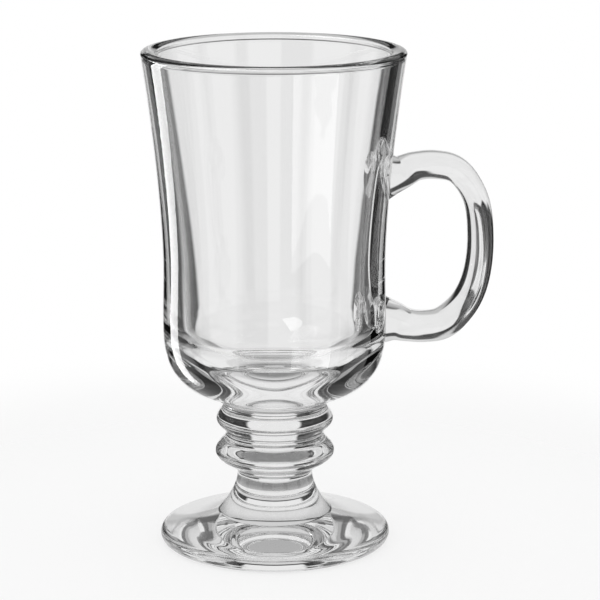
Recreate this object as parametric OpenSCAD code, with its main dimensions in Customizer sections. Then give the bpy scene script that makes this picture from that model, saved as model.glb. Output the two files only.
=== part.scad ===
// Footed mug for hot coffee drinks, in thick clear pressed glass.
// It stands on a shallow hollow foot. A waisted stem carries two rounded rings,
// and they carry a tall bowl that flares to a rounded rim, with a handle on its side.
// The mug's axis is Z, the surface it stands on is z = 0, and the handle lies towards -X.

/* [Foot] */
// Diameter of the foot
foot_d = 67.8; // [56:0.2:80]
// Height of the foot, up to where the stem grows out of it
foot_h = 8.7; // [7:0.1:11]
// Thickness of the foot at its rounded edge
foot_edge_h = 3.9; // [3:0.1:4.8]
// Inner diameter of the flat ring that the mug stands on
foot_ring_d = 50; // [36:1:54]
// Depth of the hollow under the foot
foot_hollow_h = 1.8; // [0.8:0.1:3]

/* [Stem and rings] */
// Diameter of the stem where it grows out of the foot
stem_base_d = 33.2; // [27:0.2:38]
// Diameter of the stem at its narrowest
stem_d = 22.1; // [18:0.1:25]
// Height of the stem
stem_h = 11.4; // [9:0.1:15]
// Diameter of the lower ring
lower_ring_d = 35; // [31:0.2:40]
// Height of the lower ring
lower_ring_h = 12.2; // [10:0.1:15]
// Diameter of the groove between the two rings
groove_d = 28.9; // [26:0.1:30]
// Diameter of the upper ring
upper_ring_d = 34.3; // [31:0.2:40]
// Height of the upper ring
upper_ring_h = 9; // [7.5:0.1:11]
// Diameter of the neck between the upper ring and the bowl
neck_d = 30.4; // [27:0.1:31]

/* [Bowl] */
// Height of the bowl from the neck to the top of the rim
bowl_h = 104.2; // [88:0.1:120]
// Outer diameter of the belly, low on the bowl
belly_d = 65; // [62:0.2:70]
// Outer diameter of the waist, above the belly
waist_d = 64.4; // [58:0.2:65]
// Height of the curved underside, from the neck to the belly
underside_h = 23.7; // [20:0.1:28]
// Height from the belly to the waist
belly_to_waist_h = 18.4; // [14:0.1:24]
// Thickness of the wall at the belly
belly_wall = 6.4; // [5:0.1:9]
// Thickness of the glass under the middle of the hollow
base_wall = 9.6; // [7:0.1:13]
// Height of the rounding at the bottom of the hollow
hollow_round_h = 16; // [12:0.1:19]

/* [Rim] */
// Diameter across the rounded rim
rim_d = 76; // [72:0.2:84]
// Width of the rounded rim, across the wall
rim_bead_w = 4.4; // [3.6:0.1:5.2]
// Height of the rounded rim
rim_bead_h = 2.3; // [1.8:0.1:3]

/* [Handle] */
// Reach of the handle from the mug's axis
handle_reach = 64.8; // [60:0.1:74]
// Height of the upper joint above the bottom of the bowl
upper_joint_h = 66.6; // [60:0.1:72]
// Height of the lower joint above the bottom of the bowl
lower_joint_h = 23.8; // [22:0.1:30]
// Rise of the handle above its upper joint
handle_rise = 2.8; // [1:0.1:5]
// Drop of the handle below its lower joint
handle_drop = 2.8; // [1:0.1:5]
// Width of the handle, seen from the side away from the bowl
handle_w = 13.2; // [10:0.1:16]
// Thickness of the handle where the fingers pull
grip_t = 7; // [5.5:0.1:9]
// Thickness of the lower arm of the handle
lower_arm_t = 9; // [7:0.1:10]
// Width of the pads where the handle joins the bowl
pad_w = 16; // [13:0.1:19]
// Height of the pads where the handle joins the bowl
pad_h = 15.4; // [12:0.1:18]

/* [Hidden] */
glass = [0.80, 0.86, 0.88, 0.55];
// Faces round a full turn
$fn = 120;
// Pieces in each curve of an outline
curve_steps = 10;

// Radii
foot_r = foot_d / 2;
foot_ring_r = foot_ring_d / 2;
foot_edge_r = foot_edge_h / 2;
stem_base_r = stem_base_d / 2;
stem_r = stem_d / 2;
lower_ring_r = lower_ring_d / 2;
groove_r = groove_d / 2;
upper_ring_r = upper_ring_d / 2;
neck_r = neck_d / 2;
belly_r = belly_d / 2;
waist_r = waist_d / 2;
rim_r = rim_d / 2;

// Heights above the table at which each piece stands on the one below it
stem_z = foot_h;
lower_ring_z = stem_z + stem_h;
upper_ring_z = lower_ring_z + lower_ring_h;
bowl_z = upper_ring_z + upper_ring_h;

// Where each ring is widest, as a share of its height
lower_swell_share = 0.545;
upper_swell_share = 0.48;
// Length of a swell's end tangents, as a share of its height
swell_share = 0.42;

// Point at t, from 0 to 1, on the cubic curve that the four points p guide
function cubic(p, t) =
  p[0] * pow(1 - t, 3)
  + p[1] * 3 * t * pow(1 - t, 2)
  + p[2] * 3 * t * t * (1 - t)
  + p[3] * pow(t, 3);

// The whole curve as points, without its first one
function curve(p) = [for (i = [1 : curve_steps]) cubic(p, i / curve_steps)];

// A swell or a groove: it leaves a and reaches b straight up
function swell(a, b) =
  curve([a, a + [0, (b.y - a.y) * swell_share], b - [0, (b.y - a.y) * swell_share], b]);

// A point on an ellipse about c, with half axes h, at an angle from the horizontal
function on_ellipse(c, h, angle) = c + [h.x * cos(angle), h.y * sin(angle)];

// A piece of pressed glass, turned about the mug's axis and set at height z
module turned(z, outline) {
  color(glass)
    translate([0, 0, z])
      rotate_extrude()
        polygon(outline);
}

// The foot: a shallow cone with a rounded edge and a hollow underneath
foot_slope = 72;
foot_hollow_shares = [0.45, 0.8];
foot_top_shares = [[0.22, 0.32], [0.62, 0.78]];

module foot() {
  edge_c = [foot_r - foot_edge_r, foot_edge_r];
  edge_h = [foot_edge_r, foot_edge_r];
  top_in = [stem_base_r, foot_h];
  top_out = on_ellipse(edge_c, edge_h, foot_slope);
  top_size = top_out - top_in;
  top_guides = [for (s = foot_top_shares) top_in + [top_size.x * s.x, top_size.y * s.y]];
  hollow = curve([
    [0, foot_hollow_h],
    [foot_ring_r * foot_hollow_shares.x, foot_hollow_h],
    [foot_ring_r * foot_hollow_shares.y, 0],
    [foot_ring_r, 0]
  ]);
  edge = [
    for (i = [0 : curve_steps])
      on_ellipse(edge_c, edge_h, -90 + (90 + foot_slope) * i / curve_steps)
  ];
  top = curve([top_out, top_guides[1], top_guides[0], top_in]);
  turned(0, concat([[0, foot_hollow_h]], hollow, edge, top, [[0, foot_h]]));
}

// The stem: it sweeps in from the foot and meets the lower ring at its narrowest
stem_guide_shares = [[0.34, 0.2], [1, 0.61]];

module stem() {
  bottom = [stem_base_r, 0];
  narrow = stem_r - stem_base_r;
  guides = [for (s = stem_guide_shares) bottom + [narrow * s.x, stem_h * s.y]];
  side = curve([bottom, guides[0], guides[1], [stem_r, stem_h]]);
  turned(stem_z, concat([[0, 0], bottom], side, [[0, stem_h]]));
}

// A ring: it swells out from the piece below it and draws in to the piece above
module ring(z, h, bottom_r, swell_r, top_r, widest_share) {
  bottom = [bottom_r, 0];
  widest = [swell_r, h * widest_share];
  top = [top_r, h];
  turned(z, concat([[0, 0], bottom], swell(bottom, widest), swell(widest, top), [[0, h]]));
}

module lower_ring() {
  ring(lower_ring_z, lower_ring_h, stem_r, lower_ring_r, groove_r, lower_swell_share);
}

module upper_ring() {
  ring(upper_ring_z, upper_ring_h, groove_r, upper_ring_r, neck_r, upper_swell_share);
}

// The rounded rim, and the angles on it at which the two sides of the wall run into it
rim_c = [rim_r - rim_bead_w / 2, bowl_h - rim_bead_h / 2];
rim_half = [rim_bead_w / 2, rim_bead_h / 2];
outer_lip_angle = -15;
inner_lip_angle = 200;
outer_lip = on_ellipse(rim_c, rim_half, outer_lip_angle);
inner_lip = on_ellipse(rim_c, rim_half, inner_lip_angle);

// The bowl's outside, from the neck up to the lip
cove_shares = [0.1, 0.085];
cove_guide_shares = [0, 0.04];
underside_guide_shares = [0.66, 0.25];
underside_top_share = 0.36;
flare_power = 1.6;
wall_power = 2.2;
wall_steps = 24;
waist_h = underside_h + belly_to_waist_h;

function side_r(h) = h < waist_h
  ? waist_r + (belly_r - waist_r) * (1 + cos(180 * (h - underside_h) / belly_to_waist_h)) / 2
  : waist_r + (outer_lip.x - waist_r) * pow((h - waist_h) / (outer_lip.y - waist_h), flare_power);

function share_point(s) = [neck_r + (belly_r - neck_r) * s.x, underside_h * s.y];

cove_end = share_point(cove_shares);
cove_foot = share_point(cove_guide_shares);
// The cove and the underside run on in one line where they meet
underside_guide = share_point(underside_guide_shares);
cove_guide = cove_end - (underside_guide - cove_end) * cove_guide_shares.y;

outside = concat(
  [[neck_r, 0]],
  curve([[neck_r, 0], cove_foot, cove_guide, cove_end]),
  curve([cove_end, underside_guide, [belly_r, underside_h * underside_top_share], [belly_r, underside_h]]),
  [
    for (i = [1 : wall_steps])
      let (h = underside_h + (outer_lip.y - underside_h) * i / wall_steps)
        [side_r(h), h]
  ]
);

// Outer radius at height h above the neck, read off the outline itself
function outer_r(h) = lookup(h, [for (p = outside) [p.y, p.x]]);

// The wall thins from the belly up to the lip
lip_wall = side_r(inner_lip.y) - inner_lip.x;

function wall(h) =
  let (s = min(1, max(0, (h - underside_h) / (inner_lip.y - underside_h))))
    lip_wall + (belly_wall - lip_wall) * pow(1 - s, wall_power);

// Share of its full radius that the hollow has at height h, in the rounding at its bottom
round_power = 2.1;
round_top_h = base_wall + hollow_round_h;

function rounding(h) = h >= round_top_h
  ? 1
  : pow(max(0, 1 - pow((round_top_h - h) / hollow_round_h, round_power)), 1 / round_power);

function hollow_r(h) = (outer_r(h) - wall(h)) * rounding(h);

inside_wall = [
  for (i = [0 : wall_steps])
    let (h = inner_lip.y + (round_top_h - inner_lip.y) * i / wall_steps)
      [hollow_r(h), h]
];
inside_round = [
  for (i = [1 : curve_steps - 1])
    let (h = base_wall + hollow_round_h * (1 - sin(90 * i / curve_steps)))
      [hollow_r(h), h]
];
rim = [
  for (i = [1 : curve_steps * 2 - 1])
    on_ellipse(
      rim_c, rim_half,
      outer_lip_angle + (inner_lip_angle - outer_lip_angle) * i / (curve_steps * 2)
    )
];

module bowl() {
  turned(bowl_z, concat([[0, 0]], outside, rim, inside_wall, inside_round, [[0, base_wall]]));
}

// The handle: an oval strap bent into a D, which swells into a pad at each joint.
// Each station is a place on its middle line: how far out it is, from the bowl (0) to the
// grip (1), how high it is, from the lower joint (0) to the upper one (1), in shares, then
// how much it rises above the upper joint or drops below the lower one.
grip_x = handle_reach - grip_t / 2;
joint_gap_h = upper_joint_h - lower_joint_h;
handle_steps = 5;
handle_sides = 28;
// A section a little squarer than an ellipse
strap_power = 2.3;
// The pads reach this far into the wall, and are then cut off along the bowl's outside
seat_sink = 2;
handle_shares = [
  [0, 1, 0, 1],
  [0.12, 1, 0.25, 0.32],
  [0.29, 1, 0.85, 0.06],
  [0.5, 1, 0.95, 0],
  [0.71, 1, 0.43, 0],
  [0.865, 0.92, 0, 0],
  [0.965, 0.77, 0, 0],
  [1, 0.56, 0, 0],
  [0.985, 0.36, 0, 0],
  [0.922, 0.19, 0, 0],
  [0.805, 0.058, 0, 0],
  [0.62, 0, 0.72, 0],
  [0.42, 0, 1, 0],
  [0.24, 0, 0.75, 0.1],
  [0.1, 0, 0.3, 0.4],
  [0, 0, 0, 1]
];
// Thickness and width at each station follow the grip, the lower arm and the pads
arm_shares = [0, 0.1, 0.3, 0.55, 0.45, 0.15, 0, 0, 0.05, 0.2, 0.45, 0.9, 1, 1, 1, 1];

function station(i) =
  let (
    s = handle_shares[i],
    upper = s[1] > 0.5,
    joint_h = upper ? upper_joint_h : lower_joint_h,
    seat_x = outer_r(joint_h) - (s[0] == 0 ? seat_sink : 0),
    x = seat_x + (grip_x - seat_x) * s[0],
    level = lower_joint_h + joint_gap_h * s[1],
    bend = s[2] * (upper ? handle_rise : -handle_drop),
    strap_t = grip_t + (lower_arm_t - grip_t) * arm_shares[i]
  )
    [x, level + bend, strap_t + (pad_h - strap_t) * s[3], handle_w + (pad_w - handle_w) * s[3]];

stations = [for (i = [0 : len(handle_shares) - 1]) station(i)];
last_station = len(stations) - 1;

// A smooth line through the stations, which also carries the thickness and the width
function smooth(a, b, c, d, t) =
  (b * 2 + (c - a) * t + (a * 2 - b * 5 + c * 4 - d) * t * t
  + (b * 3 - a - c * 3 + d) * pow(t, 3)) / 2;

function strap_at(i, t) = smooth(
  stations[max(0, i - 1)], stations[i],
  stations[i + 1], stations[min(last_station, i + 2)], t
);

strap = concat(
  [for (i = [0 : last_station - 1], k = [0 : handle_steps - 1]) strap_at(i, k / handle_steps)],
  [stations[last_station]]
);
last_ring = len(strap) - 1;

// Rounded power of a sine or cosine, which squares the section a little
function squared(v) = sign(v) * pow(abs(v), 2 / strap_power);

function strap_ring(i) =
  let (
    ahead = strap[min(last_ring, i + 1)],
    behind = strap[max(0, i - 1)],
    run = [ahead.x - behind.x, ahead.y - behind.y],
    across = [-run.y, run.x] / norm(run),
    s = strap[i]
  )
    [
      for (k = [0 : handle_sides - 1])
        let (
          angle = 360 * k / handle_sides,
          out = squared(cos(angle)) * s[2] / 2,
          side = squared(sin(angle)) * s[3] / 2
        )
          [-s.x - across.x * out, side, s.y + across.y * out]
    ];

module strap_solid() {
  points = [for (i = [0 : last_ring]) each strap_ring(i)];
  start = [for (k = [0 : handle_sides - 1]) k];
  end = [for (k = [0 : handle_sides - 1]) last_ring * handle_sides + handle_sides - 1 - k];
  sides = [
    for (i = [0 : last_ring - 1], k = [0 : handle_sides - 1])
      let (
        a = i * handle_sides + k,
        b = i * handle_sides + (k + 1) % handle_sides
      )
        each [[a, a + handle_sides, b + handle_sides], [a, b + handle_sides, b]]
  ];
  polyhedron(points = points, faces = concat([start], sides, [end]));
}

module handle() {
  color(glass)
    translate([0, 0, bowl_z])
      difference() {
        strap_solid();
        rotate_extrude()
          polygon(concat([[0, 0]], outside, [[0, outer_lip.y]]));
      }
}

foot();
stem();
lower_ring();
upper_ring();
bowl();
handle();
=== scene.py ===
# %% [markdown]
# A footed coffee mug in clear pressed glass
#
# The real mug is pressed in one mould: a foot, a stem with two rings, a tall bowl and a handle, all one
# clear casting. Clear glass has no colour of its own to paint. What the eye reads is how each curve bends
# the light of the room, so this lesson spends its effort on smooth surfaces, true wall thickness, joints
# that don't show, and a studio with something bright and something dark for the glass to bend.

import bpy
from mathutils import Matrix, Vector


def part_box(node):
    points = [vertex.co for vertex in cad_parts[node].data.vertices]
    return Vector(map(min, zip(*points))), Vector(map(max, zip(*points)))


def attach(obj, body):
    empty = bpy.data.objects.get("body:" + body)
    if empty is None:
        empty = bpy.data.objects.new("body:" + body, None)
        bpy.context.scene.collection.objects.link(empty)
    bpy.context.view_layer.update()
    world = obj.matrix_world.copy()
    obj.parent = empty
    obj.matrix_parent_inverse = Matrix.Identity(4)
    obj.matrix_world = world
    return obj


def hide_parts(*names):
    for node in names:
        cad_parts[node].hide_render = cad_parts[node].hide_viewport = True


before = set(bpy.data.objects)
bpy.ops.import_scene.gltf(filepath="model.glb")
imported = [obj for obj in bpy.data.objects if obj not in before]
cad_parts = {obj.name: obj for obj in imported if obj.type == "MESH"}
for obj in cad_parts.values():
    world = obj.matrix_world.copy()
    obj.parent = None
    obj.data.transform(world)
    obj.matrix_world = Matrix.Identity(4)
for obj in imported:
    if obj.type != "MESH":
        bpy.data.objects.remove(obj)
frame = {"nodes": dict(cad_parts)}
print("packed nodes:", ", ".join(frame["nodes"]))

# %% [markdown]
# Modules
#
# The mug's size was settled when it was drawn as a solid. Here the modules that the later steps use are
# loaded.

# %% Modules for the later steps
import math

import bmesh
import bpy
import numpy as np
from mathutils import Vector

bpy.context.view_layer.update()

# %% [markdown]
# The sizes
#
# A glassmaker works from one drawing: the outline of the mug from its axis outwards. The heights and the
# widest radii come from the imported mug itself, so that this model can't drift away from it. The sizes that
# its boxes don't show, such as the wall, are named here. All of them are in millimetres and become metres
# when a mesh is made.

# %% Sizes
MM = 0.001


def extent(node):
    low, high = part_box(node)
    return low / MM, high / MM


foot_r = extent("foot")[1].x
foot_h = extent("foot")[1].z
foot_edge_h = 3.9
foot_ring_r = 25
foot_hollow_h = 1.8

stem_base_r = extent("stem")[1].x
stem_r = 11.05
lower_ring_r = extent("lower_ring")[1].x
groove_r = 14.45
upper_ring_r = extent("upper_ring")[1].x
neck_r = 15.2

stem_top = extent("stem")[1].z
lower_ring_top = extent("lower_ring")[1].z
neck_z = extent("bowl")[0].z
rim_top = extent("bowl")[1].z
rim_r = extent("bowl")[1].x
bowl_h = rim_top - neck_z
handle_reach = -extent("handle")[0].x
print("neck at", round(neck_z, 2), "rim at", round(rim_top, 2), "handle reaches", round(handle_reach, 2))

# %% [markdown]
# The camera
#
# It comes early, because every later choice is judged through it. It stands where the photographer's did:
# 0.7 m away, about 0.1 m above the rim and looking down, with a long lens. The handle points to the right
# of the picture, and about ten degrees away from the camera.

# %% Camera
# How far the picture's right-hand side is turned round the mug, from +X
picture_turn = math.radians(170)
camera_distance = 0.7006
camera_shift_right = 0.00743
camera_height = 0.24204
camera_pitch = math.radians(13.641)
camera_lens = 148.59

to_right = Vector((math.cos(picture_turn), math.sin(picture_turn), 0))
to_camera = Vector((math.sin(picture_turn), -math.cos(picture_turn), 0))
camera = bpy.data.objects.new("camera", bpy.data.cameras.new("camera"))
bpy.context.scene.collection.objects.link(camera)
camera.data.sensor_fit = "HORIZONTAL"
camera.data.sensor_width = 36
camera.data.lens = camera_lens
camera.location = to_right * camera_shift_right + to_camera * camera_distance
camera.location.z = camera_height
look = -to_camera * math.cos(camera_pitch) - Vector((0, 0, math.sin(camera_pitch)))
camera.rotation_euler = look.to_track_quat("-Z", "Y").to_euler()
bpy.context.scene.camera = camera
print("camera at", [round(c, 4) for c in camera.location])

# %% [markdown]
# Curves for an outline
#
# The mug's side could be drawn with a handful of points and a subdivision modifier. But a lens shows every
# wobble of its surface, and subdivided points only come near the true line. So each stretch is a formula,
# sampled as finely as the glass needs.

# %% Curve helpers
curve_steps, swell_steps = 28, 20
swell_pull = 0.42


def cubic(a, b, c, d, steps=curve_steps):
    """Points on the cubic curve from a to d that b and c guide, without the first one."""
    t = np.linspace(0, 1, steps + 1)[1:, None]
    a, b, c, d = (np.array(p, float) for p in (a, b, c, d))
    return a * (1 - t) ** 3 + b * 3 * t * (1 - t) ** 2 + c * 3 * t * t * (1 - t) + d * t**3


def swell(a, b):
    """A swell or a groove, which leaves a and reaches b straight up."""
    rise = np.array([0, (b[1] - a[1]) * swell_pull])
    return cubic(a, a + rise, b - rise, b, steps=swell_steps)


def on_ellipse(centre, half, degrees):
    a = np.radians(degrees)[:, None]
    return centre + half * np.concatenate([np.cos(a), np.sin(a)], axis=1)


# %% [markdown]
# The outline of the foot, the stem and the rings
#
# The foot is a shallow cone with a rounded edge. Underneath it is hollow, so that it stands on a ring and
# doesn't rock. The stem sweeps in from it, and two soft rings follow. Arcs of circles would be simpler for
# the rings, but they would meet in a sharp crease. So they are swells that leave and reach their necks
# straight up, and run into each other softly.

# %% Foot and stem
foot_edge_r = foot_edge_h / 2
foot_edge_end = 72
hollow_guides = 0.45, 0.8
standing_ring_steps = 6
foot_top_guides = (0.62, 0.78), (0.22, 0.32)
stem_guides = (0.34, 0.2), (1, 0.61)


def between(start, end, shares):
    """The point that lies these shares of the way, sideways and up, from start to end."""
    return start + (end - start) * shares


def foot_outline():
    centre = np.array([foot_r - foot_edge_r, foot_edge_r])
    half = np.array([foot_edge_r, foot_edge_r])
    edge = on_ellipse(centre, half, np.linspace(-90, foot_edge_end, curve_steps))
    outer, inner = edge[-1], np.array([stem_base_r, foot_h])
    flat_r, rise_r = (foot_ring_r * share for share in hollow_guides)
    hollow = cubic([0, foot_hollow_h], [flat_r, foot_hollow_h], [rise_r, 0], [foot_ring_r, 0])
    standing_ring = np.linspace([foot_ring_r, 0], edge[0], standing_ring_steps)[1:-1]
    top = cubic(outer, *(between(inner, outer, shares) for shares in foot_top_guides), inner)
    return np.concatenate([[[0, foot_hollow_h]], hollow, standing_ring, edge, top])


def stem_outline():
    bottom, top = np.array([stem_base_r, foot_h]), np.array([stem_r, stem_top])
    guides = (between(bottom, top, shares) for shares in stem_guides)
    return np.concatenate([[bottom], cubic(bottom, *guides, top)])


print("points on the foot and the stem:", len(foot_outline()), len(stem_outline()))

# %% Rings
lower_swell_share = 0.545
upper_swell_share = 0.48


def ring_outline(low, high, bottom_r, widest_r, top_r, widest_share):
    bottom, top = np.array([bottom_r, low]), np.array([top_r, high])
    widest = np.array([widest_r, low + (high - low) * widest_share])
    return np.concatenate([[bottom], swell(bottom, widest), swell(widest, top)])


def lower_ring_outline():
    return ring_outline(stem_top, lower_ring_top, stem_r, lower_ring_r, groove_r, lower_swell_share)


def upper_ring_outline():
    return ring_outline(lower_ring_top, neck_z, groove_r, upper_ring_r, neck_r, upper_swell_share)


print("points on the rings:", len(lower_ring_outline()), len(upper_ring_outline()))

# %% [markdown]
# The outline of the bowl
#
# The bowl leaves the neck in a small cove and rounds out into the belly. Its side draws in a little at the
# waist and then flares to a rounded rim. The hollow could be the outside moved inwards by one thickness, but
# the plunger that presses it tapers, so that it can come out again. That leaves the wall thick low down and
# thin at the lip. The thick wall is what gives the dark bands inside its edges, so the hollow gets its own
# formula, in which the wall thins on its way up.

# %% Rim and side of the bowl
belly_r, waist_r = 32.5, 32.2
underside_h, belly_to_waist_h = 23.7, 18.4
rim_half = np.array([2.2, 1.15])
rim_centre = np.array([rim_r, bowl_h]) - rim_half
outer_lip_angle, inner_lip_angle = -15, 200
flare_power = 1.6

outer_lip, inner_lip = on_ellipse(rim_centre, rim_half, np.array([outer_lip_angle, inner_lip_angle]))
waist_h = underside_h + belly_to_waist_h


def side_r(h):
    """Outer radius of the side at height h above the neck."""
    waist = (1 + np.cos(np.pi * (h - underside_h) / belly_to_waist_h)) / 2
    flare = (np.maximum(h - waist_h, 0) / (outer_lip[1] - waist_h)) ** flare_power
    below, above = (belly_r - waist_r) * waist, (outer_lip[0] - waist_r) * flare
    return waist_r + np.where(h < waist_h, below, above)


print("waist at", waist_h, "and outer lip at", outer_lip[1].round(2), "mm above the neck")

# %% Outside of the bowl
neck, belly = np.array([neck_r, 0]), np.array([belly_r, underside_h])
neck_guide, cove_end, underside_guide, belly_guide = (0, 0.04), (0.1, 0.085), (0.66, 0.25), (1, 0.36)
cove_lead = 0.04
underside_steps, wall_steps = 44, 70


def bowl_outside():
    leave, cove_point, guide, arrive = (
        between(neck, belly, shares) for shares in (neck_guide, cove_end, underside_guide, belly_guide)
    )
    cove = cubic(neck, leave, cove_point - (guide - cove_point) * cove_lead, cove_point)
    under = cubic(cove_point, guide, arrive, belly, steps=underside_steps)
    h = underside_h + (outer_lip[1] - underside_h) * np.linspace(0, 1, wall_steps + 1)[1:]
    return np.concatenate([[neck], cove, under, np.stack([side_r(h), h], axis=1)])


outside = bowl_outside()
print("outside of the bowl:", len(outside), "points")

# %% Hollow of the bowl
belly_wall, base_wall, hollow_round_h = 6.4, 9.6, 16
wall_power, round_power = 2.2, 2.1
lip_wall = float(side_r(np.array([inner_lip[1]]))[0] - inner_lip[0])
round_top_h = base_wall + hollow_round_h


def hollow_r(h):
    """Radius of the hollow at height h above the neck."""
    up = np.clip((h - underside_h) / (inner_lip[1] - underside_h), 0, 1)
    wall = lip_wall + (belly_wall - lip_wall) * (1 - up) ** wall_power
    depth = np.clip((round_top_h - h) / hollow_round_h, 0, 1)
    rounding = (1 - depth**round_power) ** (1 / round_power)
    return (np.interp(h, outside[:, 1], outside[:, 0]) - wall) * rounding


print("wall at the lip:", round(lip_wall, 2), "mm")

# %% Whole outline of the bowl
rim_steps, round_steps = 48, 50


def bowl_outline():
    angles = np.linspace(outer_lip_angle, inner_lip_angle, rim_steps)[1:-1]
    rim = on_ellipse(rim_centre, rim_half, angles)
    h = inner_lip[1] + (round_top_h - inner_lip[1]) * np.linspace(0, 1, wall_steps + 1)
    side = np.stack([hollow_r(h), h], axis=1)
    turn = np.linspace(0, np.pi / 2, round_steps)[1:-1]
    h = base_wall + hollow_round_h * (1 - np.sin(turn))
    floor = np.stack([hollow_r(h), h], axis=1)
    return np.concatenate([outside, rim, side, floor, [[0, base_wall]]]) + [0, neck_z]


print("bowl outline:", len(bowl_outline()), "points")

# %% [markdown]
# One line round the whole mug
#
# The pieces are built apart, but their surfaces have to run into each other as one casting does. So the
# outlines are joined into a single line first, and the direction that the surface faces is worked out
# along all of it. Each piece then takes its own stretch, and two neighbours agree where they meet.

# %% The whole outline and its normals
stretches = {
    "foot": foot_outline(),
    "stem": stem_outline(),
    "lower_ring": lower_ring_outline(),
    "upper_ring": upper_ring_outline(),
    "bowl": bowl_outline(),
}
whole = np.concatenate([s if name == "foot" else s[1:] for name, s in stretches.items()])


def facing(line):
    """The unit normal at each point of a line, to the right of the way that it runs."""
    step = np.diff(line, axis=0)
    length = np.linalg.norm(step, axis=1, keepdims=True)
    side = np.stack([step[:, 1], -step[:, 0]], axis=1) / length
    middle = side[:-1] * length[1:] + side[1:] * length[:-1]
    normals = np.concatenate([side[:1], middle, side[-1:]])
    return normals / np.linalg.norm(normals, axis=1, keepdims=True)


whole_facing = facing(whole)
whole_facing[0], whole_facing[-1] = (0, -1), (0, 1)
print("whole outline:", len(whole), "points")

# %% The normal at any place
at_once = 4000


def facing_at(r, z):
    """The normal, in the outline's plane, at the place on the whole line that is nearest to each r, z."""
    a, step = whole[:-1], np.diff(whole, axis=0)
    found = np.empty((len(r), 2))
    for start in range(0, len(r), at_once):
        p = np.stack([r, z], axis=1)[start : start + at_once, None]
        t = np.clip(((p - a) * step).sum(2) / (step**2).sum(1), 0, 1)
        gap = ((a + step * t[..., None] - p) ** 2).sum(2)
        k = gap.argmin(1)
        share = t[np.arange(len(k)), k][:, None]
        found[start : start + at_once] = whole_facing[k] * (1 - share) + whole_facing[k + 1] * share
    return found / np.linalg.norm(found, axis=1, keepdims=True)


# %% [markdown]
# Turning a piece
#
# A screw modifier would turn an outline too, but it gives one open skin. Here each piece is closed: where
# it is fused to its neighbour it gets a flat face, on a second material slot, so that it stays a sound
# solid by itself and the joint can be made to vanish.

# %% Turn an outline into a closed piece
sides_round = 192
# Fused faces are dished into their own piece, so that no two of them lie in the same place
fused_dish = 0.05
on_axis = 1e-6
GLASS, FUSED, TOOL = 0, 1, 2


def turned(name, line):
    """A closed mesh from an outline in mm. An end that isn't on the axis is closed with a fused face."""
    angle = 2 * np.pi * np.arange(sides_round) / sides_round
    points, faces, slots, rings = [], [], [], []
    line = list(line)
    open_bottom, open_top = line[0][0] > 0, line[-1][0] > 0
    if open_bottom:
        line.insert(0, (0, line[0][1] + fused_dish))
    if open_top:
        line.append((0, line[-1][1] - fused_dish))
    for r, z in line:
        count = 1 if r < on_axis else sides_round
        rings.append(range(len(points), len(points) + count))
        points += [(r * MM * math.cos(a), r * MM * math.sin(a), z * MM) for a in angle[:count]]
    for k, (low, high) in enumerate(zip(rings, rings[1:])):
        fused = (open_bottom and k == 0) or (open_top and k == len(rings) - 2)
        for i in range(sides_round):
            j = (i + 1) % sides_round
            if len(low) == 1:
                faces.append((low[0], high[j], high[i]))
            elif len(high) == 1:
                faces.append((low[i], low[j], high[0]))
            else:
                faces.append((low[i], low[j], high[j], high[i]))
            slots.append(FUSED if fused else GLASS)
    mesh = bpy.data.meshes.new(name)
    mesh.from_pydata(points, [], faces)
    mesh.polygons.foreach_set("material_index", slots)
    mesh.update()
    return mesh


# %% Add a piece, and measure it
def piece(name, mesh):
    made = bpy.data.objects.new(name, mesh)
    bpy.context.scene.collection.objects.link(made)
    return made


def volume_of(mesh):
    work = bmesh.new()
    work.from_mesh(mesh)
    cubic_mm = work.calc_volume(signed=True) / MM**3
    open_edges = sum(not edge.is_manifold for edge in work.edges)
    work.free()
    return round(cubic_mm), open_edges


# %% Foot, stem, rings and bowl as closed pieces
pieces = {}
for name in ("foot", "stem", "lower_ring", "upper_ring", "bowl"):
    pieces[name] = piece(name + "_glass", turned(name + "_glass", stretches[name]))
    print(name, "volume and open edges:", volume_of(pieces[name].data))

# %% [markdown]
# The handle
#
# The handle is a strap of glass bent into a D. Its section is an oval, a little squarer than an ellipse,
# which swells into a pad where it meets the bowl. A bevelled curve would give it one even section. So the
# strap is swept by hand: a few stations say where its middle line runs and how thick it is there, and a
# smooth line through them carries place, thickness and width together.

# %% Handle sizes and stations
upper_joint_h, lower_joint_h = 66.6, 23.8
handle_bend = 2.8
handle_w, grip_t, lower_arm_t = 13.2, 7, 9
pad_w, pad_h = 16, 15.4

# Place out from the bowl, place up between the joints, then the shares of the bend, the pad and the arm
stations = [
    (0, 1, 0, 1, 0),
    (0.12, 1, 0.25, 0.32, 0.1),
    (0.29, 1, 0.85, 0.06, 0.3),
    (0.5, 1, 0.95, 0, 0.55),
    (0.71, 1, 0.43, 0, 0.45),
    (0.865, 0.92, 0, 0, 0.15),
    (0.965, 0.77, 0, 0, 0),
    (1, 0.56, 0, 0, 0),
    (0.985, 0.36, 0, 0, 0.05),
    (0.922, 0.19, 0, 0, 0.2),
    (0.805, 0.058, 0, 0, 0.45),
    (0.62, 0, 0.72, 0, 0.9),
    (0.42, 0, 1, 0, 1),
    (0.24, 0, 0.75, 0.1, 1),
    (0.1, 0, 0.3, 0.4, 1),
    (0, 0, 0, 1, 1),
]
print("stations:", len(stations))

# %% A smooth line through the stations
seat_sink = 2
strap_steps = 10


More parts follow.
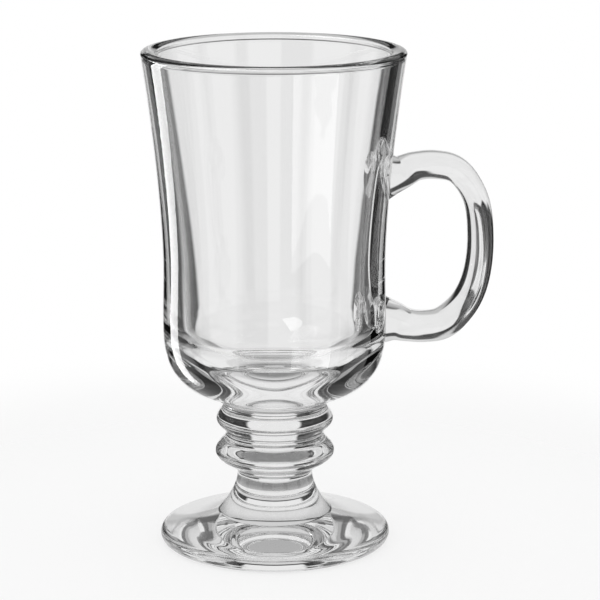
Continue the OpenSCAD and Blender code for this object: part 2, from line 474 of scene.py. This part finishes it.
def station(out, up, bend, pad, arm):
    upper = up > 0.5
    joint_h = upper_joint_h if upper else lower_joint_h
    seat = np.interp(joint_h, outside[:, 1], outside[:, 0]) - (seat_sink if out == 0 else 0)
    x = seat + (handle_reach - grip_t / 2 - seat) * out
    side = 1 if upper else -1
    h = lower_joint_h + (upper_joint_h - lower_joint_h) * up + handle_bend * bend * side
    thick = grip_t + (lower_arm_t - grip_t) * arm
    return x, neck_z + h, thick + (pad_h - thick) * pad, handle_w + (pad_w - handle_w) * pad


def through(knots, steps):
    """A smooth line through the knots."""
    knots = np.array(knots, float)
    line = []
    for i in range(len(knots) - 1):
        a, b, c, d = (knots[min(max(i + k, 0), len(knots) - 1)] for k in (-1, 0, 1, 2))
        lean, bow, twist = c - a, a * 2 - b * 5 + c * 4 - d, b * 3 - a - c * 3 + d
        for t in np.arange(steps) / steps:
            line.append((b * 2 + lean * t + bow * t**2 + twist * t**3) / 2)
    return np.array(line + [knots[-1]])


strap_line = through([station(*s) for s in stations], strap_steps)
run = np.linalg.norm(np.diff(strap_line[:, :2], axis=0), axis=1).sum()
print("strap:", len(strap_line), "sections along", round(run, 1), "mm")

# %% [markdown]
# Fusing the handle to the bowl
#
# On the real mug the handle's glass runs on into the wall, with no skin between. A strap that is only pushed
# into the wall would still be seen in there, with an outline of its own. So it reaches 2 mm into the wall,
# is cut off along the bowl's outside, and the same cut is printed on the bowl: a boolean takes the strap out
# of the bowl, another keeps what they share, and the two outer skins are sewn into one. Both seats go on the
# second slot, so that light passes from wall to handle unbent.

# %% Sweep the strap
strap_power = 2.3
strap_sides = 72


def swept(name, line):
    turn = 2 * np.pi * np.arange(strap_sides) / strap_sides
    across, side = (np.sign(v) * np.abs(v) ** (2 / strap_power) for v in (np.cos(turn), np.sin(turn)))
    points = []
    for i, (x, z, thick, wide) in enumerate(line):
        ahead, behind = line[min(i + 1, len(line) - 1)], line[max(i - 1, 0)]
        along = (ahead - behind)[:2] / np.linalg.norm((ahead - behind)[:2])
        points += [
            (-(x - along[1] * a * thick / 2) * MM, s * wide / 2 * MM, (z + along[0] * a * thick / 2) * MM)
            for a, s in zip(across, side)
        ]
    rings = [range(i * strap_sides, (i + 1) * strap_sides) for i in range(len(line))]
    faces = [rings[0][::-1], rings[-1]]
    for low, high in zip(rings, rings[1:]):
        for k in range(strap_sides):
            n = (k + 1) % strap_sides
            faces.append((low[k], low[n], high[n], high[k]))
    mesh = bpy.data.meshes.new(name)
    mesh.from_pydata(points, [], faces)
    work = bmesh.new()
    work.from_mesh(mesh)
    bmesh.ops.recalc_face_normals(work, faces=work.faces)
    work.to_mesh(mesh)
    work.free()
    return mesh


strap = piece("handle_glass", swept("handle_glass", strap_line))
print("strap volume and open edges:", volume_of(strap.data))

# %% Put materials on a mesh
def dress(mesh, materials, index=None):
    """Gives a mesh its materials. Clearing them resets every face's slot, so it is kept and set again."""
    slots = [face.material_index if index is None else index for face in mesh.polygons]
    mesh.materials.clear()
    for material in materials:
        mesh.materials.append(material)
    mesh.polygons.foreach_set("material_index", slots)
    mesh.update()
    return slots


# %% Cut and sew
sewing_distance = 1e-6


def boolean(made, tool, how):
    """The mesh that the boolean gives. Neither object changes."""
    step = made.modifiers.new(how, "BOOLEAN")
    step.operation, step.object, step.solver = how, tool, "EXACT"
    graph = bpy.context.evaluated_depsgraph_get()
    mesh = bpy.data.meshes.new_from_object(made.evaluated_get(graph))
    made.modifiers.remove(step)
    return mesh


def sewn(parts):
    """One mesh from several, each with the test that a face has to pass and the slot that it then gets."""
    work = bmesh.new()
    for mesh, keep, slot in parts:
        part = bmesh.new()
        part.from_mesh(mesh)
        bmesh.ops.delete(part, geom=[f for f in part.faces if not keep(f)], context="FACES")
        for face in part.faces:
            face.material_index = face.material_index if slot is None else slot
        skin = bpy.data.meshes.new("skin")
        part.to_mesh(skin)
        part.free()
        work.from_mesh(skin)
        bpy.data.meshes.remove(skin)
    bmesh.ops.remove_doubles(work, verts=work.verts, dist=sewing_distance)
    mesh = bpy.data.meshes.new("sewn")
    work.to_mesh(mesh)
    work.free()
    return mesh


# %% Cut the seats
# The handle's seats stay this far off the bowl's, so that they don't lie in the same place either
seat_gap = 0.02
scratch = [bpy.data.materials.new("seat_" + str(k)) for k in range(3)]
bowl = pieces["bowl"]
dress(bowl.data, scratch)
dress(strap.data, scratch, TOOL)
pocketed = boolean(bowl, strap, "DIFFERENCE")
shared = boolean(bowl, strap, "INTERSECT")
printed = sewn([
    (pocketed, lambda face: face.material_index != TOOL, None),
    (shared, lambda face: face.material_index == GLASS, FUSED),
])
dress(strap.data, scratch, GLASS)
cutter = piece("cutter", turned("cutter", stretches["bowl"] + facing(stretches["bowl"]) * seat_gap))
dress(cutter.data, scratch, FUSED)
strap.data = boolean(strap, cutter, "DIFFERENCE")
bowl.data = printed
bpy.data.objects.remove(cutter)
pieces["handle"] = strap
print("bowl volume and open edges:", volume_of(bowl.data))
print("handle volume and open edges:", volume_of(strap.data))

# %% [markdown]
# Smooth surfaces
#
# Every facet would break up what the glass bends. Blender could smooth a turned piece by averaging its
# faces, but that average stops at the joint and leaves a seam there. So the turned pieces take the
# outline's own direction at each corner. The handle has no outline, and is smoothed by angle: only the rim
# of its seats is sharp enough to stay.

# %% Smooth shading
handle_sharp_angle = math.radians(35)


def set_facing(mesh):
    """Gives each corner of a turned piece's glass the outline's own normal, and flat faces their own."""
    spots = np.array([v.co for v in mesh.vertices]) / MM
    r = np.hypot(spots[:, 0], spots[:, 1])
    plane = facing_at(r, spots[:, 2])
    out = spots[:, :2] / np.maximum(r, on_axis)[:, None]
    smooth = np.concatenate([out * plane[:, :1], plane[:, 1:]], axis=1)
    normals = [
        smooth[v] if face.material_index == GLASS else face.normal
        for face in mesh.polygons
        for v in face.vertices
    ]
    mesh.shade_smooth()
    mesh.normals_split_custom_set(normals)


for name, made in pieces.items():
    if name == "handle":
        made.data.shade_smooth()
        made.data.set_sharp_from_angle(angle=handle_sharp_angle)
    else:
        set_facing(made.data)
print("smoothed:", ", ".join(pieces))

# %% [markdown]
# Clear pressed glass
#
# Soda-lime glass has a refractive index of 1.51 and takes almost no light away. A perfect shader looks like
# a drawing though: pressed glass keeps a faint waviness from the mould, which shows as soft unevenness in
# the dark bands. Two layers of noise, a few hundredths of a millimetre deep, give that through a bump.

# %% Glass materials
glass_ior = 1.51
wave_depth = 0.02


def pressed_glass(name, wave_size):
    """Clear glass with waves of about this size, in mm."""
    material = bpy.data.materials.new(name)
    material.use_nodes = True
    nodes, links = material.node_tree.nodes, material.node_tree.links
    shader = nodes["Principled BSDF"]
    shader.inputs["Base Color"].default_value = (1, 1, 1, 1)
    shader.inputs["Roughness"].default_value = 0
    shader.inputs["IOR"].default_value = glass_ior
    shader.inputs["Transmission Weight"].default_value = 1
    place = nodes.new("ShaderNodeTexCoord")
    wave = nodes.new("ShaderNodeTexNoise")
    wave.inputs["Scale"].default_value = 1 / (wave_size * MM)
    wave.inputs["Detail"].default_value = 1
    links.new(place.outputs["Object"], wave.inputs["Vector"])
    bump = nodes.new("ShaderNodeBump")
    bump.inputs["Strength"].default_value = 1
    bump.inputs["Distance"].default_value = wave_depth * MM
    links.new(wave.outputs["Fac"], bump.inputs["Height"])
    links.new(bump.outputs["Normal"], shader.inputs["Normal"])
    return material


def fused_joint():
    """Glass runs on through a fused joint, so its face lets everything pass."""
    material = bpy.data.materials.new("fused_joint")
    material.use_nodes = True
    nodes, links = material.node_tree.nodes, material.node_tree.links
    nodes.remove(nodes["Principled BSDF"])
    clear = nodes.new("ShaderNodeBsdfTransparent")
    links.new(clear.outputs[0], nodes["Material Output"].inputs["Surface"])
    return material


joint = fused_joint()
bowl_glass = pressed_glass("bowl_glass", wave_size=14)
stem_glass = pressed_glass("stem_glass", wave_size=9)
handle_glass = pressed_glass("handle_glass", wave_size=7)
finish = {"bowl": bowl_glass, "handle": handle_glass}

# %% Dress the pieces and put them in the frame
for name, made in pieces.items():
    slots = dress(made.data, (finish.get(name, stem_glass), joint))
    print(name, "faces of glass and of fused joint:", slots.count(GLASS), slots.count(FUSED))
    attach(made, "root")
    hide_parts(name)
for material in scratch:
    bpy.data.materials.remove(material)

# %% [markdown]
# The studio
#
# Clear glass shows only what stands round it. A photographer sets white panels behind and beside it, and
# leaves dark gaps between them: the panel behind shows through the middle of the bowl, and the gaps draw
# its dark edges, because the thick wall bends the view 20 to 50 degrees aside there. The rings, the foot's
# edge and the handle look upwards instead, so a second row of dimmer panels hangs above the first, and the
# dark slit between the two rows draws the fine lines in them. Lamps alone can't do this. So the world is
# painted by direction. The camera itself sees plain white behind the mug, the table is lit by an even white
# sky, and only the rays that the glass bends or mirrors see the panels.

# %% Nodes that the world and the table share
def join(tree, output, node, socket):
    tree.links.new(output, node.inputs[socket])
    return node.outputs[0]


def maths(tree, how, first, *rest):
    """A maths node. The first input is a socket, and the others are numbers or sockets."""
    node = tree.nodes.new("ShaderNodeMath")
    node.operation = how
    for slot, value in enumerate((first,) + rest):
        if isinstance(value, (int, float)):
            node.inputs[slot].default_value = value
        else:
            tree.links.new(value, node.inputs[slot])
    return node.outputs[0]


def eased(tree, value, start, end, low, high):
    """Goes softly from low to high as the value goes from start to end."""
    node = tree.nodes.new("ShaderNodeMapRange")
    node.interpolation_type = "SMOOTHSTEP"
    for socket, number in zip(("From Min", "From Max", "To Min", "To Max"), (start, end, low, high)):
        node.inputs[socket].default_value = number
    return join(tree, value, node, "Value")


# A mix node has sockets for numbers, vectors and colours, and these are the ones for colours
FIRST_COLOUR, SECOND_COLOUR, MIXED_COLOUR = 6, 7, 2


def mixed(tree, share, first, second):
    """The second colour where the share is 1 and the first where it is 0."""
    node = tree.nodes.new("ShaderNodeMix")
    node.data_type = "RGBA"
    tree.links.new(share, node.inputs["Factor"])
    for slot, colour in ((FIRST_COLOUR, first), (SECOND_COLOUR, second)):
        if isinstance(colour, (int, float)):
            node.inputs[slot].default_value = (colour, colour, colour, 1)
        else:
            tree.links.new(colour, node.inputs[slot])
    return node.outputs[MIXED_COLOUR]


# %% Panels round the mug
# Directions round the mug start at +Y, pass the handle at 90 and reach the camera at 350
# Direction of the middle, half its width and its soft edge in degrees, and how bright it is
standing_panels = [
    (170, 15.5, 3, 0.84),
    (240, 10, 12, 0.85),
    (290, 20, 4, 0.85),
    (0, 15, 3, 0.88),
    (45, 15, 3, 0.88),
    (90, 16, 3, 0.88),
]
hanging_panels = [
    (160, 34, 6, 0.65),
    (231, 18, 8, 0.35),
    (290, 20, 6, 0.35),
    (0, 16, 6, 0.35),
    (45, 14, 6, 0.35),
    (90, 15, 6, 0.35),
]
standing_gap, between_level, hanging_gap, ceiling_level = 0.02, 0.04, 0.06, 0.4
lower_level, table_light = 0.5, 1


def sines(*degrees):
    """The world's height coordinate is the sine of the elevation."""
    return [math.sin(math.radians(d)) for d in degrees]


standing_top, hanging_bottom, hanging_top = sines(9, 12), sines(17, 20), sines(50, 60)
low_rays = sines(-40, -30)
print("panels:", len(standing_panels) + len(hanging_panels))

# %% [markdown]
# Painting the world
#
# The world could hold a photographed room, but then each band in the glass would be a matter of luck. Here
# every panel is a soft step in azimuth, and a row of them is blended with the next by height. The mug is
# small beside its studio, so only the direction of a ray counts and not where it starts.

# %% Paint the world
sky = bpy.data.worlds.new("studio")
bpy.context.scene.world = sky
sky.use_nodes = True


def ring_light(tree, azimuth, panels, gap_level):
    """How bright a ring of panels is in each direction round the mug."""
    light = None
    for middle, half, edge, level in panels:
        turn = maths(tree, "SUBTRACT", azimuth, math.radians(middle))
        turn = maths(tree, "WRAP", turn, math.pi, -math.pi)
        turn = maths(tree, "ABSOLUTE", turn)
        near = eased(tree, turn, math.radians(half), math.radians(half + edge), level, gap_level)
        light = near if light is None else maths(tree, "MAXIMUM", light, near)
    return light


def build_world(tree):
    tree.nodes.clear()
    place = tree.nodes.new("ShaderNodeTexCoord")
    split = tree.nodes.new("ShaderNodeSeparateXYZ")
    tree.links.new(place.outputs["Generated"], split.inputs[0])
    across = maths(tree, "MULTIPLY", split.outputs["X"], -1)
    azimuth = maths(tree, "ARCTAN2", across, split.outputs["Y"])
    height = split.outputs["Z"]
    standing = ring_light(tree, azimuth, standing_panels, standing_gap)
    hanging = ring_light(tree, azimuth, hanging_panels, hanging_gap)
    light = mixed(tree, eased(tree, height, *standing_top, 0, 1), standing, between_level)
    light = mixed(tree, eased(tree, height, *hanging_bottom, 0, 1), light, hanging)
    light = mixed(tree, eased(tree, height, *hanging_top, 0, 1), light, ceiling_level)
    light = mixed(tree, eased(tree, height, *low_rays, 0, 1), lower_level, light)
    path = tree.nodes.new("ShaderNodeLightPath")
    light = mixed(tree, path.outputs["Is Diffuse Ray"], light, table_light)
    light = mixed(tree, path.outputs["Is Camera Ray"], light, 1)
    shine = tree.nodes.new("ShaderNodeBackground")
    out = tree.nodes.new("ShaderNodeOutputWorld")
    tree.links.new(join(tree, light, shine, "Color"), out.inputs["Surface"])


build_world(sky.node_tree)
print("world nodes:", len(sky.node_tree.nodes))

# %% [markdown]
# Softboxes that the bowl mirrors
#
# The tall pale stripe on the bowl's front is a softbox that its outer skin mirrors. The narrow white line
# inside its left edge is another, behind the mug, mirrored at a glancing angle. The small soft spot low in
# the hollow is a lamp overhead. Glass mirrors about 4% of what it faces, so the lamps are bright. They show
# only in reflections: seen straight through the glass they would be white holes. They light the bowl alone,
# because in the small curves of the stem and the handle they give specks that look like dirt. The stripe is
# two softboxes, one a little taller, so that it ends in a soft step.

# %% Softbox sizes
softbox_distance = 0.5
# Direction of the middle and half its width in degrees, heights of its bottom and top, and how bright it is
softboxes = {
    "stripe_softbox": (28, 20.5, -0.24, -0.070, 2.6),
    "stripe_step_softbox": (28, 20.5, -0.24, -0.058, 1.3),
    "edge_softbox": (227.5, 8.5, -0.5, 0.1, 6),
}
spot_azimuth, spot_elevation, spot_distance, spot_side, spot_level = 268, 60, 0.7, 0.5, 3.6
spot_aim_h = 60
print("softboxes:", len(softboxes) + 1)

# %% Hang the softboxes
mirrored_by = bpy.data.collections.new("mirrored_by_the_bowl")
mirrored_by.objects.link(bowl)


def way(azimuth_deg, elevation_deg):
    """The unit direction from the mug at an azimuth and an elevation."""
    azimuth, up = math.radians(azimuth_deg), math.radians(elevation_deg)
    return Vector((-math.sin(azimuth) * math.cos(up), math.cos(azimuth) * math.cos(up), math.sin(up)))


def softbox(name, towards, centre, wide, tall, level):
    """A soft lamp as bright as the level, where 1 is white. It faces back along its direction."""
    lamp = bpy.data.lights.new(name, "AREA")
    lamp.shape, lamp.size, lamp.size_y = "RECTANGLE", wide, tall
    lamp.energy = level * math.pi * wide * tall
    made = bpy.data.objects.new(name, lamp)
    made.location = centre
    made.rotation_euler = towards.to_track_quat("Z", "Y").to_euler()
    bpy.context.scene.collection.objects.link(made)
    made.visible_camera = False
    made.visible_transmission = False
    made.light_linking.receiver_collection = mirrored_by
    print(name, round(wide, 3), "by", round(tall, 3), "m")


for name, (middle, half, bottom, top, level) in softboxes.items():
    towards = way(middle, 0)
    wide = 2 * softbox_distance * math.tan(math.radians(half))
    centre = towards * softbox_distance + Vector((0, 0, (top + bottom) / 2))
    softbox(name, towards, centre, wide, top - bottom, level)
spot_way = way(spot_azimuth, spot_elevation)
spot_centre = spot_way * spot_distance + Vector((0, 0, spot_aim_h * MM))
softbox("spot_softbox", spot_way, spot_centre, spot_side, spot_side, spot_level)

# %% [markdown]
# The table
#
# A pale table stands under the mug and keeps its soft shadow. To the camera it is mixed with plain white,
# as a brightly lit sheet would look, and it fades out into the backdrop, so that it has no edge in the
# picture. Glass would show it grey, since little light gets in under a mug. So the rays that the glass
# bends or mirrors see it as a glowing pale sheet with a painted shadow under the stem, and only as wide as
# the foot needs: beyond that they pass on to the panels and to the gaps, which keeps the bowl's lower
# corners dark.

# %% Table finish
table_r, table_drop, table_white, table_roughness = 1.6, 0.0002, 0.92, 0.6
seen_fade, glass_fade = (0.06, 0.22), (0.06, 0.08)
# The glowing sheet that glass rays see has a painted shadow under the stem: it has this level inside the
# first radius and reaches the sheet's level at the second
painted_stem_shadow, painted_stem_shadow_level, sheet_level = (0.012, 0.026), 0.25, 0.85
sheet_share, paper_share = 0.8, 0.75


def table_finish():
    material = bpy.data.materials.new("white_table")
    material.use_nodes = True
    tree = material.node_tree
    shader = tree.nodes["Principled BSDF"]
    shader.inputs["Base Color"].default_value = (table_white, table_white, table_white, 1)
    shader.inputs["Roughness"].default_value = table_roughness
    shader.inputs["Specular IOR Level"].default_value = 0
    spot = tree.nodes.new("ShaderNodeNewGeometry")
    far = tree.nodes.new("ShaderNodeVectorMath")
    far.operation = "LENGTH"
    tree.links.new(spot.outputs["Position"], far.inputs[0])
    far = far.outputs["Value"]
    path = tree.nodes.new("ShaderNodeLightPath")
    bent = maths(tree, "MAXIMUM", path.outputs["Is Transmission Ray"], path.outputs["Is Glossy Ray"])
    glow = tree.nodes.new("ShaderNodeEmission")
    # Painted shadow: the glowing sheet is darker in the middle, under the stem
    sheet = eased(tree, far, *painted_stem_shadow, painted_stem_shadow_level, sheet_level)
    tree.links.new(mixed(tree, bent, 1, sheet), glow.inputs["Color"])
    share = maths(tree, "MULTIPLY", path.outputs["Is Camera Ray"], paper_share)
    share = maths(tree, "ADD", share, maths(tree, "MULTIPLY", bent, sheet_share))
    choose = tree.nodes.new("ShaderNodeMixShader")
    tree.links.new(share, choose.inputs[0])
    tree.links.new(shader.outputs[0], choose.inputs[1])
    tree.links.new(glow.outputs[0], choose.inputs[2])
    gone = tree.nodes.new("ShaderNodeBsdfTransparent")
    blend = tree.nodes.new("ShaderNodeMixShader")
    fade = mixed(tree, bent, eased(tree, far, *seen_fade, 0, 1), eased(tree, far, *glass_fade, 0, 1))
    tree.links.new(fade, blend.inputs[0])
    tree.links.new(choose.outputs[0], blend.inputs[1])
    tree.links.new(gone.outputs[0], blend.inputs[2])
    tree.links.new(blend.outputs[0], tree.nodes["Material Output"].inputs["Surface"])
    return material


# %% Lay the table
table_sides = 128
bpy.ops.mesh.primitive_circle_add(
    vertices=table_sides, radius=table_r, fill_type="NGON", location=(0, 0, -table_drop)
)
table = bpy.context.object
table.name = "table"
table.data.materials.append(table_finish())
print("table radius:", table_r, "m")

# %% [markdown]
# Following the light
#
# A ray meets four surfaces on its way through the bowl, and in the stem it can mirror off the inside over
# and over. Cut off too early it turns black, which looks like dirt, so the limits go up. The colours are
# shown as they are, through the Standard view.

# %% Light settings
cycles = bpy.context.scene.cycles
cycles.max_bounces = 24
cycles.transmission_bounces = 20
cycles.glossy_bounces = 12
cycles.transparent_max_bounces = 24
print("bounces inside the glass:", cycles.transmission_bounces)
bpy.context.scene.view_settings.view_transform = "Standard"
